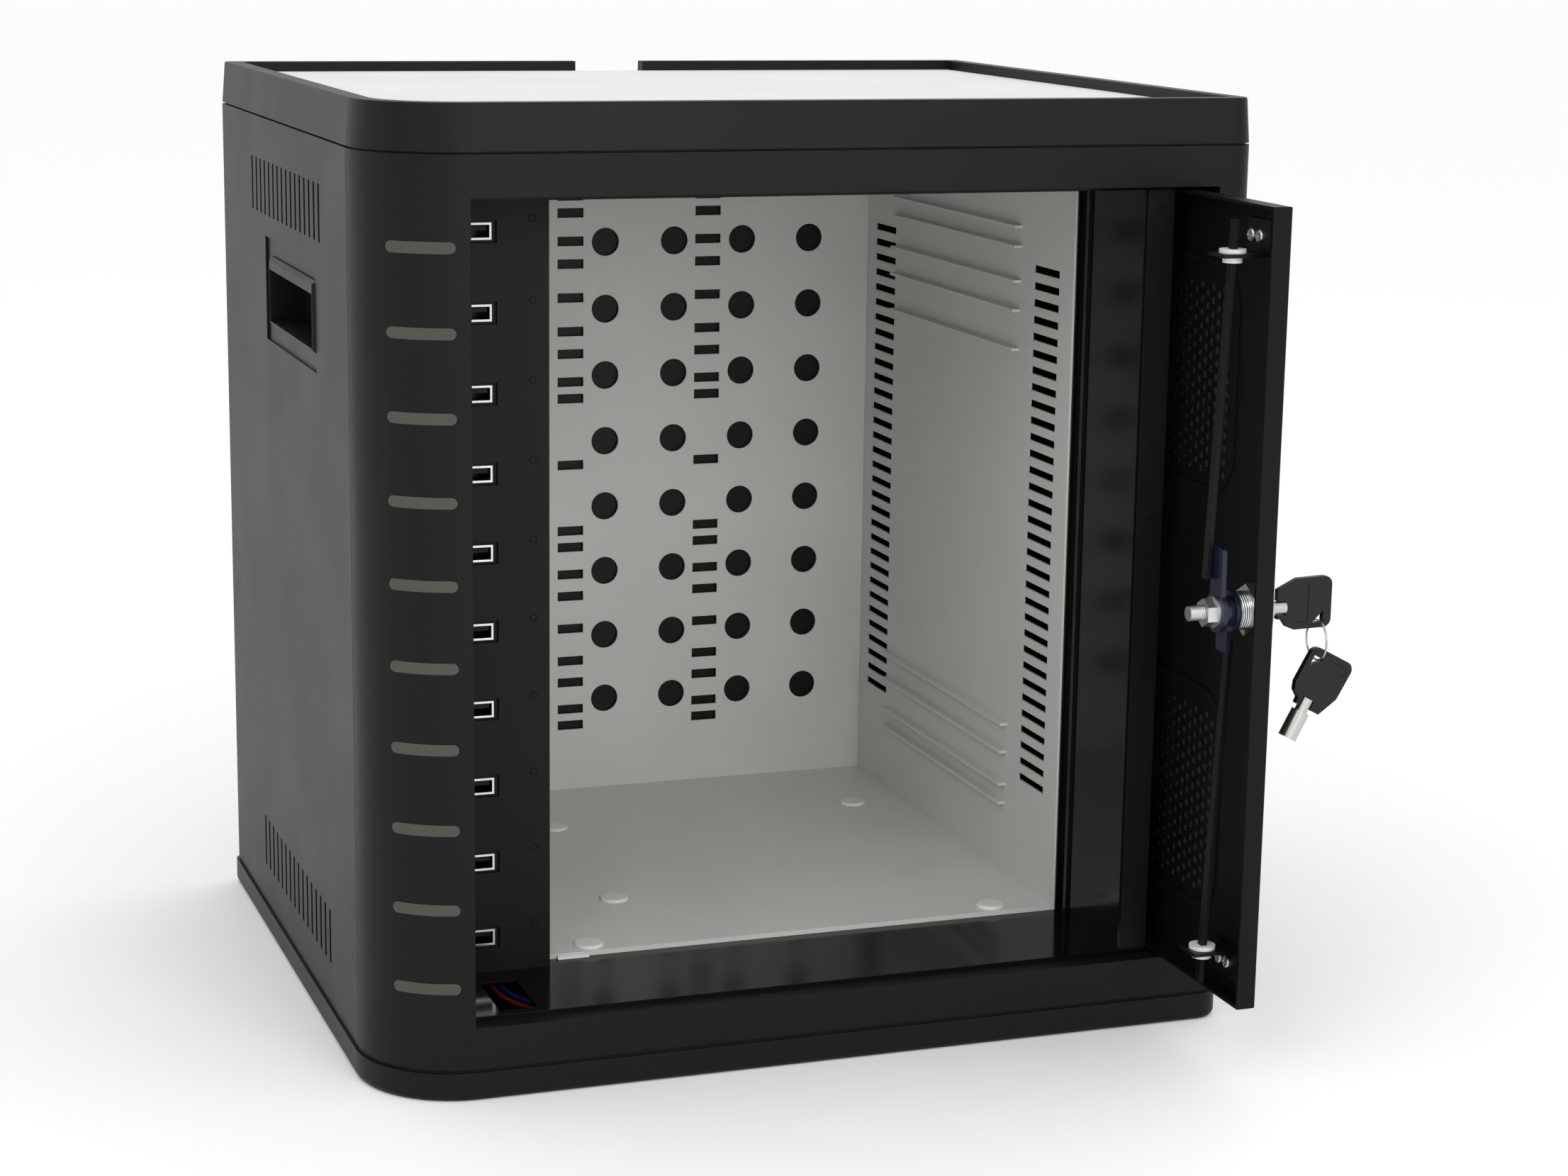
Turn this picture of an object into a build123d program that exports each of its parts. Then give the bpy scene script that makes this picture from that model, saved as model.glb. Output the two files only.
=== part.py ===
from build123d import *
from math import atan, cos, degrees, radians, sin, tan
import os

# Tablet charging cabinet with a pocket door, ten USB ports and a keyed rod lock.
# Millimetres. X to the right of a person facing the door, Y into the cabinet, Z up.
# The origin is on the ground, under the middle of the base.

# Outer shell
body_w = 376.5          # width over the side panels
body_d = 326.0          # depth, front of the bezel to the rear corners
body_h = 370.0          # height, seam over the base to seam under the tray
front_left_r = 41.2     # big vertical round at the port side
front_right_r = 10.0    # small vertical round at the door side
rear_r = 4.0            # vertical rounds at the back
shell_t = 2.5           # wall of the moulded panels
sheet_t = 1.2           # steel sheet of plates and rails
bezel_d = 41.2          # how far the bezel wraps round the sides
bezel_lip_d = 5.0       # turned-in lips at the top and bottom of the bezel

# Base, feet and top tray
foot_r = 9.0
foot_h = 3.0
foot_inset = 32.0       # foot centre from the base's sides
base_h = 13.0           # ground to the seam; the feet end flush with the plinth
base_proud = 1.2        # base stands out past the body
base_floor_t = 3.0
base_edge_r = 3.0
tray_h = 19.5
tray_draft = 4.5        # degrees
tray_recess = 5.5       # depth of the tray inside its rim
tray_rim = 7.5          # rim width at the top
tray_floor_t = 3.0
rim_edge_r = 0.9
mat_t = 1.0
mat_gap = 0.4
notch_w = 34.0          # cable notch in the rear of the rim
seam_h = 0.8            # shadow seams above and below the body
seam_d = 1.6

# Door opening
open_left = 39.9        # bezel left of the opening
open_right = 16.6
open_bottom = 17.7
open_top = 16.9
reveal_d = 8.8          # depth of the recess that the shut door fills
stop_lip = 1.8          # the frame behind stands into the opening by this much

# Door
door_gap = 1.5          # gap round the shut door
door_t = 8.6            # folded edge depth
door_out = 75.0         # free edge in front of the bezel when stored
post_gap = 1.4          # door to door post
hinge_r = 3.0
hinge_pin_r = 1.5
pin_fit = 0.05          # radial clearance of pins and spindles
hinge_from_face = 5.0   # pin axis from the door's outer skin
hinge_from_end = 9.65   # pin axis from the door's hinge edge
hinge_h = 40.0
hinge_inset = 40.0      # hinge centre from the door's top or bottom edge
leaf_t = 1.5
leaf_l = 27.0
slide_travel = 227.0

# Door perforations
perf_pitch = 5.7
perf_r = 1.5
perf_edge = 46.5        # field's side from the door's side edges
perf_band = 36.0        # field's far side from the door's top or bottom edge
perf_h = 80.0
bead_w = 3.0
bead_h = 0.8
bead_margin = 9.0
bead_r = 20.0

# Pocket rails and carriage
rail_h = 9.0
rail_in = 8.0           # inside width of a rail
rail_from_front = 13.0
rail_past = 12.0        # rail past the stored carriage
shoe_gap = 0.15
shoe_l = 24.0
shoe_h = 7.0
bar_t = 6.0
bar_l = 10.0
bar_from_pin = 12.0

# Lock, on an axis along X
lock_from_edge = 15.0
lock_up = 186.0         # above the body's bottom seam
barrel_r = 7.75
barrel_l = 11.0         # outer face of the skin to the barrel's inner end
head_r = 11.5
head_t = 2.0
plug_r = 5.6
key_bore_r = 4.0
key_pin_r = 2.85
key_bore_l = 9.0
nut_af = 19.0
nut_t = 4.4
stud_r = 3.0
stud_tip = 30.0         # stud tip from the inside of the skin
stud_nut_af = 10.4
stud_nut_t = 5.6
cam_r = 8.5
cam_t = 2.0
collar_r = 6.0
collar_l = 4.0
lever_w = 10.0
lever_l = 27.0
cam_arm = 18.0
rod_w = 4.0
rod_t = 2.2
rod_gap = 0.3           # clearance between the rods and the cam plates
rod_travel = 10.0
rod_from_edge = 20.0
rod_end_gap = 6.6       # rod tip inside the door's top or bottom edge
bushing_in = 20.6       # bushing plane from the door's top or bottom edge
bushing_stand = 14.3    # rod axis at the bushing from the inside of the skin
bushing_r = 4.0
bushing_flange_r = 5.5
bushing_flange_t = 1.6
bracket_t = 1.5
bracket_w = 20.0
bracket_h = 14.0
screw_r = 1.5
screw_head_r = 2.8
screw_head_t = 1.6

# Keys and ring
bow_t = 2.8
bow_l = 25.0
bow_h = 22.0
bow_off = 1.6           # the bow is higher than the tube's axis
bow_hole = 5.0
bow_corner_r = 3.6
bow_stand = 6.8         # bow from the lock's face
tube_r = 3.9
tube_wall = 0.9
neck_r = 2.7
key_in = 7.5            # tube inside the lock
key_travel = 26.0
ring_r = 8.6
ring_wire = 1.3
hang_gap = 0.3
spare_tilt = 28.0

# Inner frame and lining
frame_inset = 20.0      # sill and header start this far from the left side panel
cut_w = 16.0            # cut-out for the lock rod, in the sill and in the header
cut_from_stop = 4.7
cut_l = 35.0
jamb_bead_w = 3.0
jamb_bead_back = 9.0    # far side of the bead from the lining's front edge
sill_rear = 83.0        # rear edge of the sill from the front of the body
liner_front = 70.0
liner_back = 320.0
liner_left = 88.65      # left lining's inner face from the body's side
liner_right = 49.75
liner_t = 1.0
liner_floor_up = 21.6
liner_h = 336.0
post_w = 12.3
post_d = 14.0
jamb_out = 3.5          # jamb plate from the lining's inner face
panel_back = 61.0       # front of the port panel from the front of the body
panel_t = 2.5
panel_return = 6.5
plug_hole_r = 4.0
plug_lip = 2.5
plug_cap_h = 1.4

# Ports, lights and boards
ports = 10
port_pitch = 33.25
port_low = 35.0         # lowest port above the body's bottom seam
port_in = 31.2          # port centre from the port panel's right edge
port_w = 14.4
port_h = 7.0
port_l = 14.0
port_recess_w = 18.4
port_recess_h = 9.2
port_recess_d = 1.4
lamp_l = 28.2
lamp_h = 4.7
lamp_angle = 240.0      # direction of the light row on the front-left round
lamp_board_r = 33.0     # board plane from the round's centre
lamp_board_w = 26.0
board_t = 1.6

# Vents, grips and lining slots
vent_slots = 16
vent_pitch = 10.0
vent_w = 3.2
vent_h = 24.0
vent_from_front = 96.0
vent_from_end = 18.5
grip_from_front = 155.0
grip_up = 295.2
grip_w = 94.0
grip_h = 26.5
grip_deep = 15.0
grip_wall = 2.0
grip_top = 5.5          # the cup's top wall is thicker: the bar that the fingers lift
grip_proud = 2.4
grip_recess_w = 112.0
grip_recess_h = 46.0
grip_recess_back = 6.0  # the recess reaches further back than the cup
grip_recess_d = 1.2
slot_w = 13.3
slot_h = 4.7
hole_r = 7.0
hole_pitch = 35.75
side_slot_l = 28.0
side_slot_h = 3.4
side_slot_pitch = 7.6
side_slot_n = 32
side_slot_front = 28.5  # slot centres from the lining's front edge
side_slot_rear = 25.0   # slot centres from the rear lining
fin_out = 3.7
fin_t = 1.3
fin_lead = 14.0         # gap between the front slots and the fins
fin_tail = 2.0
fin_drops = (33.0, 42.0, 57.7, 71.0, 88.8)
shelf_cols = (9.3, 81.0, 152.3)
shelf_shares = (4, 6, 8, 10)
hole_first = 27.4
hole_cols = 6
rear_return = 14.0      # side panels turn round the rear corners by this much
rear_vent_x = -171.0    # behind the charging board
rear_vent_n = 6
rear_vent_drops = (70.0, 140.0)

# Power parts
psu_from_left = 12.0
psu_back = 75.0         # behind the port panel
psu_w = 62.0
psu_l = 160.0
psu_h = 50.0
inlet_from_left = 45.0
inlet_up = 40.0
inlet_w = 48.0
inlet_h = 28.0
inlet_deep = 22.0
inlet_flange = 3.0
socket_w = 26.0
socket_h = 18.0
socket_deep = 16.0
blade_pitch = 7.0
blade_l = 12.0
flange_t = 2.0
switch_up = 45.0        # switch centre above the inlet's
switch_w = 22.0
switch_h = 30.0
switch_deep = 14.0
rocker_tilt = 10.0
rocker_pin_r = 1.2
wire_r = 0.8

# Planes and edges that the rest is built from
half_w = body_w / 2
front = -body_d / 2
rear = body_d / 2
body_bot = base_h
body_top = body_bot + body_h
in_bot = body_bot + sheet_t
in_top = body_top - sheet_t
in_right = half_w - shell_t
in_left = -in_right
ox0 = -half_w + open_left
ox1 = half_w - open_right
oz0 = body_bot + open_bottom
oz1 = body_top - open_top
reveal_y = front + reveal_d
sill_top = oz0 + stop_lip
head_low = oz1 - stop_lip
rear_plate_y = rear - shell_t

bay_x0 = -half_w + liner_left
bay_x1 = half_w - liner_right
bay_y0 = front + liner_front
bay_y1 = front + liner_back
bay_z0 = body_bot + liner_floor_up
bay_z1 = bay_z0 + liner_h
jamb_x = bay_x1 + jamb_out
post_x1 = jamb_x + sheet_t + post_w
panel_y = front + panel_back
panel_x1 = bay_x0 - liner_t

door_x0 = post_x1 + post_gap
door_x1 = door_x0 + door_t
skin_x = door_x1 - sheet_t
door_l = ox1 - ox0 - 2 * door_gap
door_y0 = front - door_out
door_y1 = door_y0 + door_l
door_z0 = oz0 + door_gap
door_z1 = oz1 - door_gap
hinge_x = door_x1 - hinge_from_face
hinge_y = door_y1 - hinge_from_end
bar_y = hinge_y + bar_from_pin
lock_y = door_y0 + lock_from_edge
lock_z = body_bot + lock_up
rod_y = door_y0 + rod_from_edge


def block(x0, x1, y0, y1, z0, z1):
    """Box between two corners."""
    return Pos(x0, y0, z0) * Box(x1 - x0, y1 - y0, z1 - z0, align=(Align.MIN,) * 3)


def rod_x(x0, x1, y, z, r):
    """Round bar along X."""
    return Pos((x0 + x1) / 2, y, z) * Rot(0, 90, 0) * Cylinder(r, x1 - x0)


def rod_z(z0, z1, x, y, r):
    """Round bar along Z."""
    return Pos(x, y, (z0 + z1) / 2) * Cylinder(r, z1 - z0)


def hex_x(x0, x1, y, z, across):
    """Hexagonal bar along X with a corner on top."""
    face = RegularPolygon(across / 2, 6, major_radius=False)
    return Pos(x0, y, z) * Rot(0, 90, 0) * extrude(face, amount=x1 - x0)


def plan(inset=0.0):
    """Plan outline of the body, moved inwards by inset, with its four corner rounds."""
    x0, x1 = -half_w + inset, half_w - inset
    y0, y1 = front + inset, rear - inset
    r_fl = max(front_left_r - inset, 0.4)
    r_fr = max(front_right_r - inset, 0.4)
    r_re = max(rear_r - inset, 0.4)
    corners = (
        (x0 + r_fl, y0 + r_fl, r_fl, 180),
        (x1 - r_fr, y0 + r_fr, r_fr, 270),
        (x1 - r_re, y1 - r_re, r_re, 0),
        (x0 + r_re, y1 - r_re, r_re, 90),
    )
    arcs = [CenterArc((x, y), r, start, 90) for x, y, r, start in corners]
    sides = [Line(arcs[i - 1] @ 1, arcs[i] @ 0) for i in range(4)]
    edges = []
    for arc, side in zip(arcs, sides):
        edges += [side, arc]
    return make_face([shape.edge() for shape in edges])


def plan_block(inset, z0, z1, taper=0.0):
    """The plan outline carried from z0 up to z1."""
    return Pos(0, 0, z0) * extrude(plan(inset), amount=z1 - z0, taper=taper)


def slots_x(x0, x1, centres, length_y, height_z):
    """Cutter: rectangles in the YZ plane, carried along X."""
    tools = [
        block(x0, x1, y - length_y / 2, y + length_y / 2, z - height_z / 2, z + height_z / 2)
        for y, z in centres
    ]
    return tools


def save(name, *solids):
    """Write one node, made of one or more separate solids."""
    flat = []
    for item in solids:
        flat += item.solids()
    shape = flat[0] if len(flat) == 1 else Compound(children=flat)
    export_step(shape, f"parts/{name}.step")


os.makedirs("parts", exist_ok=True)

# Base tray: a moulded plinth, open at the top, with four pockets for the feet
base = plan_block(-base_proud, 0, base_h)
base = fillet(base.edges().group_by(Axis.Z)[0], base_edge_r)
base -= plan_block(shell_t, base_floor_t, base_h)
seam_cut = plan_block(-base_proud - 1, base_h - seam_h, base_h)
base -= seam_cut - plan_block(seam_d - base_proud, base_h - seam_h, base_h)
foot_x = half_w - foot_inset
foot_y = body_d / 2 - foot_inset
foot_spots = [(sx * foot_x, sy * foot_y) for sx in (-1, 1) for sy in (-1, 1)]
feet = [rod_z(0, foot_h, x, y, foot_r) for x, y in foot_spots]
base += [rod_z(0, foot_h + 2, x, y, foot_r + 2) for x, y in foot_spots]
base -= feet
save("base_tray", base)
save("rubber_feet", *feet)

# Bottom and top plates: steel, inside the moulded shell
plate_zone = block(-half_w, half_w, front + shell_t + bezel_lip_d, rear, 0, body_top)
bottom_plate = plan_block(shell_t, body_bot, in_bot) & plate_zone
top_plate = plan_block(shell_t, in_top, body_top) & plate_zone
save("bottom_plate", bottom_plate)
save("top_plate", top_plate)

# Top tray: drafted rim round a shallow tray, hollow underneath, cable notch at the rear
tray_top = body_top + tray_h
tray = plan_block(0, body_top, tray_top, taper=tray_draft)
rim_out = tray_h * tan(radians(tray_draft))
tray_in = rim_out + tray_rim
tray_floor = tray_top - tray_recess
tray = fillet(tray.edges().group_by(Axis.Z)[-1], rim_edge_r)
tray -= plan_block(tray_in, tray_floor, tray_top + 1)
tray -= plan_block(shell_t + rim_out, body_top, tray_floor - tray_floor_t)
seam_cut = plan_block(-1, body_top, body_top + seam_h)
tray -= seam_cut - plan_block(seam_d, body_top, body_top + seam_h)
tray -= block(-notch_w / 2, notch_w / 2, rear - tray_in - 1, rear + 1, tray_floor, tray_top + 1)
mat = plan_block(tray_in + mat_gap, tray_floor, tray_floor + mat_t)
save("top_tray", tray)
save("tray_mat", mat)

# Side panels: moulded walls with two fields of vent slots and a recess for the grip cup
shell_ring = plan_block(0, body_bot, body_top) - plan_block(shell_t, body_bot, body_top)
seam_y = front + bezel_d
vent_ys = [front + vent_from_front + vent_pitch * i for i in range(vent_slots)]
vent_zs = [body_bot + vent_from_end + vent_h / 2, body_top - vent_from_end - vent_h / 2]
grip_y = front + grip_from_front
grip_z = body_bot + grip_up


def side_panel(side):
    """One side panel; side is -1 on the left and 1 on the right."""
    outer = side * half_w
    inner = side * in_right
    x_lo, x_hi = sorted((outer + side * 1, side * (half_w - rear_return)))
    wall = shell_ring & block(x_lo, x_hi, seam_y, rear + 1, body_bot, body_top)
    cut_lo, cut_hi = sorted((outer + side * 1, inner - side * 1))
    spots = [(y, z) for y in vent_ys for z in vent_zs]
    wall -= slots_x(cut_lo, cut_hi, spots, vent_w, vent_h)
    dish_lo, dish_hi = sorted((outer + side * 1, outer - side * grip_recess_d))
    wall -= slots_x(dish_lo, dish_hi, [(grip_y + grip_recess_back, grip_z)], grip_recess_w, grip_recess_h)
    hole_w = grip_w + 2 * grip_wall
    hole_h = grip_h + 2 * grip_wall
    wall -= slots_x(cut_lo, cut_hi, [(grip_y, grip_z)], hole_w, hole_h)
    return wall


def grip_cup(side):
    """Moulded hand grip: a five-sided cup with a bevelled rim that stands out of the panel."""
    outer_w = grip_w + 2 * grip_wall
    outer_h = grip_h + 2 * grip_wall
    floor_x = half_w - grip_deep - grip_wall
    rim_x = half_w - grip_recess_d + grip_proud
    cup = block(floor_x, rim_x, -outer_w / 2, outer_w / 2, -outer_h / 2, outer_h / 2)
    cup = chamfer(cup.edges().group_by(Axis.X)[-1], grip_wall * 0.8)
    hollow_z1 = outer_h / 2 - grip_top
    cup -= block(floor_x + grip_wall, rim_x + 1, -grip_w / 2, grip_w / 2, -grip_h / 2, hollow_z1)
    cup = Pos(0, grip_y, grip_z) * cup
    return cup if side > 0 else mirror(cup, about=Plane.YZ)


save("left_side_panel", side_panel(-1))
save("right_side_panel", side_panel(1))
save("left_grip_cup", grip_cup(-1))
save("right_grip_cup", grip_cup(1))

# Front bezel: moulded frame that wraps both front corners, with a recess for the shut door
bezel = shell_ring & block(-half_w - 1, half_w + 1, front - 1, seam_y, body_bot, body_top)
lip_zone = block(-half_w, half_w, front, front + shell_t + bezel_lip_d, body_bot, body_top)
lips = plan_block(0.5, body_bot, body_top) & lip_zone
lips -= block(-half_w, half_w, front + shell_t, rear, body_bot + shell_t, body_top - shell_t)
bezel += lips
bezel -= block(ox0, ox1, front - 1, front + shell_t + 1, oz0, oz1)
reveal = block(ox0 - shell_t, ox1 + shell_t, front + 0.5, reveal_y, oz0 - shell_t, oz1 + shell_t)
reveal -= block(ox0, ox1, front - 1, reveal_y + 1, oz0, oz1)
bezel += reveal
round_x = -half_w + front_left_r
round_y = front + front_left_r
port_zs = [body_bot + port_low + port_pitch * i for i in range(ports)]


def lamp_bar(z, reach):
    """Stadium bar that points out of the front-left round, from the board plane outwards."""
    face = SlotOverall(lamp_l, lamp_h)
    bar = Rot(0, 90, 0) * Rot(0, 0, 90) * extrude(face, amount=reach)
    return Pos(round_x, round_y, z) * Rot(0, 0, lamp_angle) * Pos(lamp_board_r, 0, 0) * bar


lamp_reach = front_left_r - lamp_board_r + 4
lamp_skin = rod_z(body_bot, body_top, round_x, round_y, front_left_r + 0.2)
light_bars = [lamp_bar(z, lamp_reach) & lamp_skin for z in port_zs]
bezel -= [lamp_bar(z, lamp_reach) for z in port_zs]
save("front_bezel", bezel)
save("light_windows", *light_bars)
board_z0 = port_zs[0] - 14
board_z1 = port_zs[-1] + 14
lamp_board = block(lamp_board_r - board_t, lamp_board_r, -lamp_board_w / 2, lamp_board_w / 2,
                   board_z0, board_z1)
lamp_board = Pos(round_x, round_y, 0) * Rot(0, 0, lamp_angle) * lamp_board
save("light_board", lamp_board)

# Sill and header: glossy folded plates behind the opening, with a cut-out for the lock rod
frame_x0 = in_left + frame_inset
cut_x = ox0 + door_gap + rod_from_edge
cut_y0 = reveal_y + cut_from_stop
cut_y1 = cut_y0 + cut_l
rod_cut = block(cut_x - cut_w / 2, cut_x + cut_w / 2, cut_y0, cut_y1, body_bot, body_top)
sill_y1 = front + sill_rear
sill = block(frame_x0, post_x1, reveal_y, panel_y + panel_t, sill_top - sheet_t, sill_top)
sill += block(panel_x1, post_x1, panel_y, sill_y1, sill_top - sheet_t, sill_top)
sill += block(frame_x0, post_x1, reveal_y, reveal_y + sheet_t, in_bot, sill_top)
sill -= rod_cut
header = block(frame_x0, post_x1, reveal_y, bay_y0, head_low, head_low + sheet_t)
header += block(frame_x0, post_x1, reveal_y, reveal_y + sheet_t, head_low, in_top)
header -= rod_cut
save("sill_plate", sill)
save("header_plate", header)

# Jamb plate and door post: the pocket's inner side, beside the stored door
jamb = block(jamb_x, jamb_x + sheet_t, reveal_y, bay_y0, sill_top, head_low)
jamb += block(bay_x1 + liner_t, jamb_x + sheet_t, bay_y0 - sheet_t, bay_y0, sill_top, head_low)
jamb_bead_y = bay_y0 - jamb_bead_back
jamb += block(jamb_x - sheet_t, jamb_x, jamb_bead_y, jamb_bead_y + jamb_bead_w, sill_top, head_low)
post = block(jamb_x + sheet_t, post_x1, reveal_y, reveal_y + post_d, sill_top, head_low)
post -= block(jamb_x + sheet_t, post_x1 - shell_t, reveal_y + shell_t, reveal_y + post_d, sill_top, head_low)
save("jamb_plate", jamb)
save("door_post", post)

# Lining: floor, roof and three walls of pale sheet round the tablet bay
lining_y1 = bay_y1 + liner_t
liner_floor = block(bay_x0, bay_x1, bay_y0, bay_y1, bay_z0 - liner_t, bay_z0)
liner_floor += block(bay_x0, bay_x1, bay_y0, bay_y0 + liner_t, sill_top, bay_z0)
plug_spots = [(-49.6, -26.0), (-78.5, -93.5), (111.0, -93.5), (-45.0, 91.0), (111.0, 91.0)]
plug_spots = [(x, max(y, bay_y0 + 8)) for x, y in plug_spots]
liner_floor -= [rod_z(bay_z0 - 2, bay_z0 + 1, x, y, plug_hole_r) for x, y in plug_spots]
plugs = []
for x, y in plug_spots:
    cap = rod_z(bay_z0, bay_z0 + plug_cap_h, x, y, plug_hole_r + plug_lip)
    cap = fillet(cap.edges().group_by(Axis.Z)[-1], 1.0)
    plugs.append(cap + rod_z(bay_z0 - liner_t, bay_z0, x, y, plug_hole_r))
liner_roof = block(bay_x0, bay_x1, bay_y0, bay_y1, bay_z1, bay_z1 + liner_t)
save("liner_floor", liner_floor)
save("floor_plugs", *plugs)
save("liner_roof", liner_roof)

left_wall = block(bay_x0 - liner_t, bay_x0, bay_y0, lining_y1, in_bot, in_top)
left_wall -= block(bay_x0 - liner_t, bay_x0, bay_y0, sill_y1, in_bot, sill_top)
right_wall = block(bay_x1, bay_x1 + liner_t, bay_y0, lining_y1, in_bot, in_top)
right_wall -= block(bay_x1, bay_x1 + liner_t, bay_y0, sill_y1, in_bot, sill_top)
bay_mid = (bay_z0 + bay_z1) / 2
side_slot_zs = [bay_mid + side_slot_pitch * (i - (side_slot_n - 1) / 2) for i in range(side_slot_n)]
slot_front_y = bay_y0 + side_slot_front
slot_rear_y = bay_y1 - side_slot_rear
side_spots = [(y, z) for y in (slot_front_y, slot_rear_y) for z in side_slot_zs]
right_wall -= slots_x(bay_x1 - 1, bay_x1 + liner_t + 1, side_spots, side_slot_l, side_slot_h)
fin_y0 = slot_front_y + side_slot_l / 2 + fin_lead
fin_y1 = slot_rear_y - side_slot_l / 2 - fin_tail
fin_zs = [bay_z1 - drop for drop in fin_drops] + [bay_z0 + drop for drop in fin_drops[:4]]
right_wall += [
    block(bay_x1 - fin_out, bay_x1, fin_y0, fin_y1, z - fin_t / 2, z + fin_t / 2)
    for z in fin_zs
]
save("liner_left_wall", left_wall)
save("liner_right_wall", right_wall)

# Rear lining: shelf slots that share the bay's height into 4, 6, 8 and 10, and round holes
shares = sorted({round(k / n, 5) for n in shelf_shares for k in range(n // 2)})
shelf_zs = [bay_mid + sign * share * liner_h for share in shares for sign in ((1, -1) if share else (1,))]
slot_xs = [bay_x0 + col for col in shelf_cols]
hole_xs = [bay_x0 + hole_first + hole_pitch * i for i in range(hole_cols)]
back_wall = block(bay_x0, bay_x1, bay_y1, lining_y1, in_bot, in_top)
slot_tools = [
    block(x - slot_w / 2, x + slot_w / 2, bay_y1 - 1, lining_y1 + 1, z - slot_h / 2, z + slot_h / 2)
    for x in slot_xs
    for z in shelf_zs
]
hole_tools = [
    Pos(x, bay_y1, z) * Rot(90, 0, 0) * Cylinder(hole_r, 6)
    for x in hole_xs
    for z in port_zs[1:-1]
]
back_wall -= slot_tools
back_wall -= hole_tools
save("liner_back_wall", back_wall)

# Rear panel: steel, with vent slots, the power inlet's opening and the switch's opening
inlet_x = in_left + inlet_from_left
inlet_z = in_bot + inlet_up
switch_x = inlet_x
switch_z = inlet_z + switch_up
rear_y0 = rear_plate_y - sheet_t
rear_in = max(rear_r - shell_t, 0.4) + 0.1
rear_panel = block(in_left + rear_in, in_right - rear_in, rear_y0, rear_plate_y, in_bot, in_top)
rear_vent_xs = [rear_vent_x + vent_pitch * i for i in range(rear_vent_n)]
rear_panel -= [
    block(x - vent_w / 2, x + vent_w / 2, rear_y0 - 1, rear + 1, z - vent_h, z + vent_h)
    for x in rear_vent_xs
    for z in (bay_z1 - drop for drop in rear_vent_drops)
]
inlet_hole = block(inlet_x - inlet_w / 2, inlet_x + inlet_w / 2, rear_y0 - 1, rear + 1,
                   inlet_z - inlet_h / 2, inlet_z + inlet_h / 2)
switch_hole = block(switch_x - switch_w / 2, switch_x + switch_w / 2, rear_y0 - 1, rear + 1,
                    switch_z - switch_h / 2, switch_z + switch_h / 2)
rear_panel -= inlet_hole
rear_panel -= switch_hole
rear_screw_spots = [(sx * (half_w - rear_return / 2), z) for sx in (-1, 1)
                    for z in (in_bot + 25, bay_mid, in_top - 25)]
rear_screws = [Pos(x, rear + screw_head_t / 2, z) * Rot(90, 0, 0) * Cylinder(screw_head_r, screw_head_t)
               for x, z in rear_screw_spots]
save("rear_panel", rear_panel)
save("rear_screws", *rear_screws)

# Power inlet: a three-pin appliance inlet with its shroud open to the rear
flange_y = rear_plate_y + flange_t


def rear_box(x, z, wide, high, y0, y1):
    """Box round a centre line along Y."""
    return block(x - wide / 2, x + wide / 2, y0, y1, z - high / 2, z + high / 2)


inlet = rear_box(inlet_x, inlet_z, inlet_w, inlet_h, rear_plate_y - inlet_deep, rear_plate_y)
inlet_outer_w = inlet_w + 2 * inlet_flange
inlet_outer_h = inlet_h + 2 * inlet_flange
inlet += rear_box(inlet_x, inlet_z, inlet_outer_w, inlet_outer_h, rear_plate_y, flange_y)
socket_y0 = flange_y - socket_deep
inlet -= rear_box(inlet_x, inlet_z, socket_w, socket_h, socket_y0, flange_y + 1)
blades = [(inlet_x - blade_pitch, inlet_z - 2.2), (inlet_x, inlet_z + 2.2),
          (inlet_x + blade_pitch, inlet_z - 2.2)]
inlet_pins = [rear_box(x, z, 2.0, 4.0, socket_y0, socket_y0 + blade_l) for x, z in blades]
save("power_inlet", inlet)
save("inlet_pins", *inlet_pins)

# Power switch: a frame in the rear panel and a rocker on a pin across it, tilted to off
well_w = switch_w - 4
well_h = switch_h - 4
switch_frame = rear_box(switch_x, switch_z, switch_w, switch_h, rear_plate_y - switch_deep, rear_plate_y)
switch_frame += rear_box(switch_x, switch_z, switch_w + 4, switch_h + 4, rear_plate_y, flange_y)
switch_frame -= rear_box(switch_x, switch_z, well_w, well_h, rear_plate_y - switch_deep + 3, flange_y + 1)
rocker_y = rear_plate_y - 3.0
rocker_w = well_w - 1.0
rocker_h = well_h - 2.6
pin_x0 = switch_x - well_w / 2 - 1
pin_x1 = switch_x + well_w / 2 + 1
switch_frame -= rod_x(pin_x0, pin_x1, rocker_y, switch_z, rocker_pin_r + pin_fit)
rocker = block(-rocker_w / 2, rocker_w / 2, -4.0, 6.2, -rocker_h / 2, rocker_h / 2)
rocker -= rod_x(-well_w, well_w, 52.2, 0, 47.0)
rocker = Pos(switch_x, rocker_y, switch_z) * Rot(-rocker_tilt, 0, 0) * rocker
rocker += rod_x(pin_x0 + 0.1, pin_x1 - 0.1, rocker_y, switch_z, rocker_pin_r)
save("switch_frame", switch_frame)
save("rocker", rocker)

# Power supply: a sheet-metal case on the bottom plate, behind the port panel
psu_x0 = in_left + psu_from_left
psu_y0 = panel_y + psu_back
psu = block(psu_x0, psu_x0 + psu_w, psu_y0, psu_y0 + psu_l, in_bot, in_bot + psu_h)
psu = fillet(psu.edges().filter_by(Axis.Y), 1.5)
save("power_supply", psu)

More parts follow.
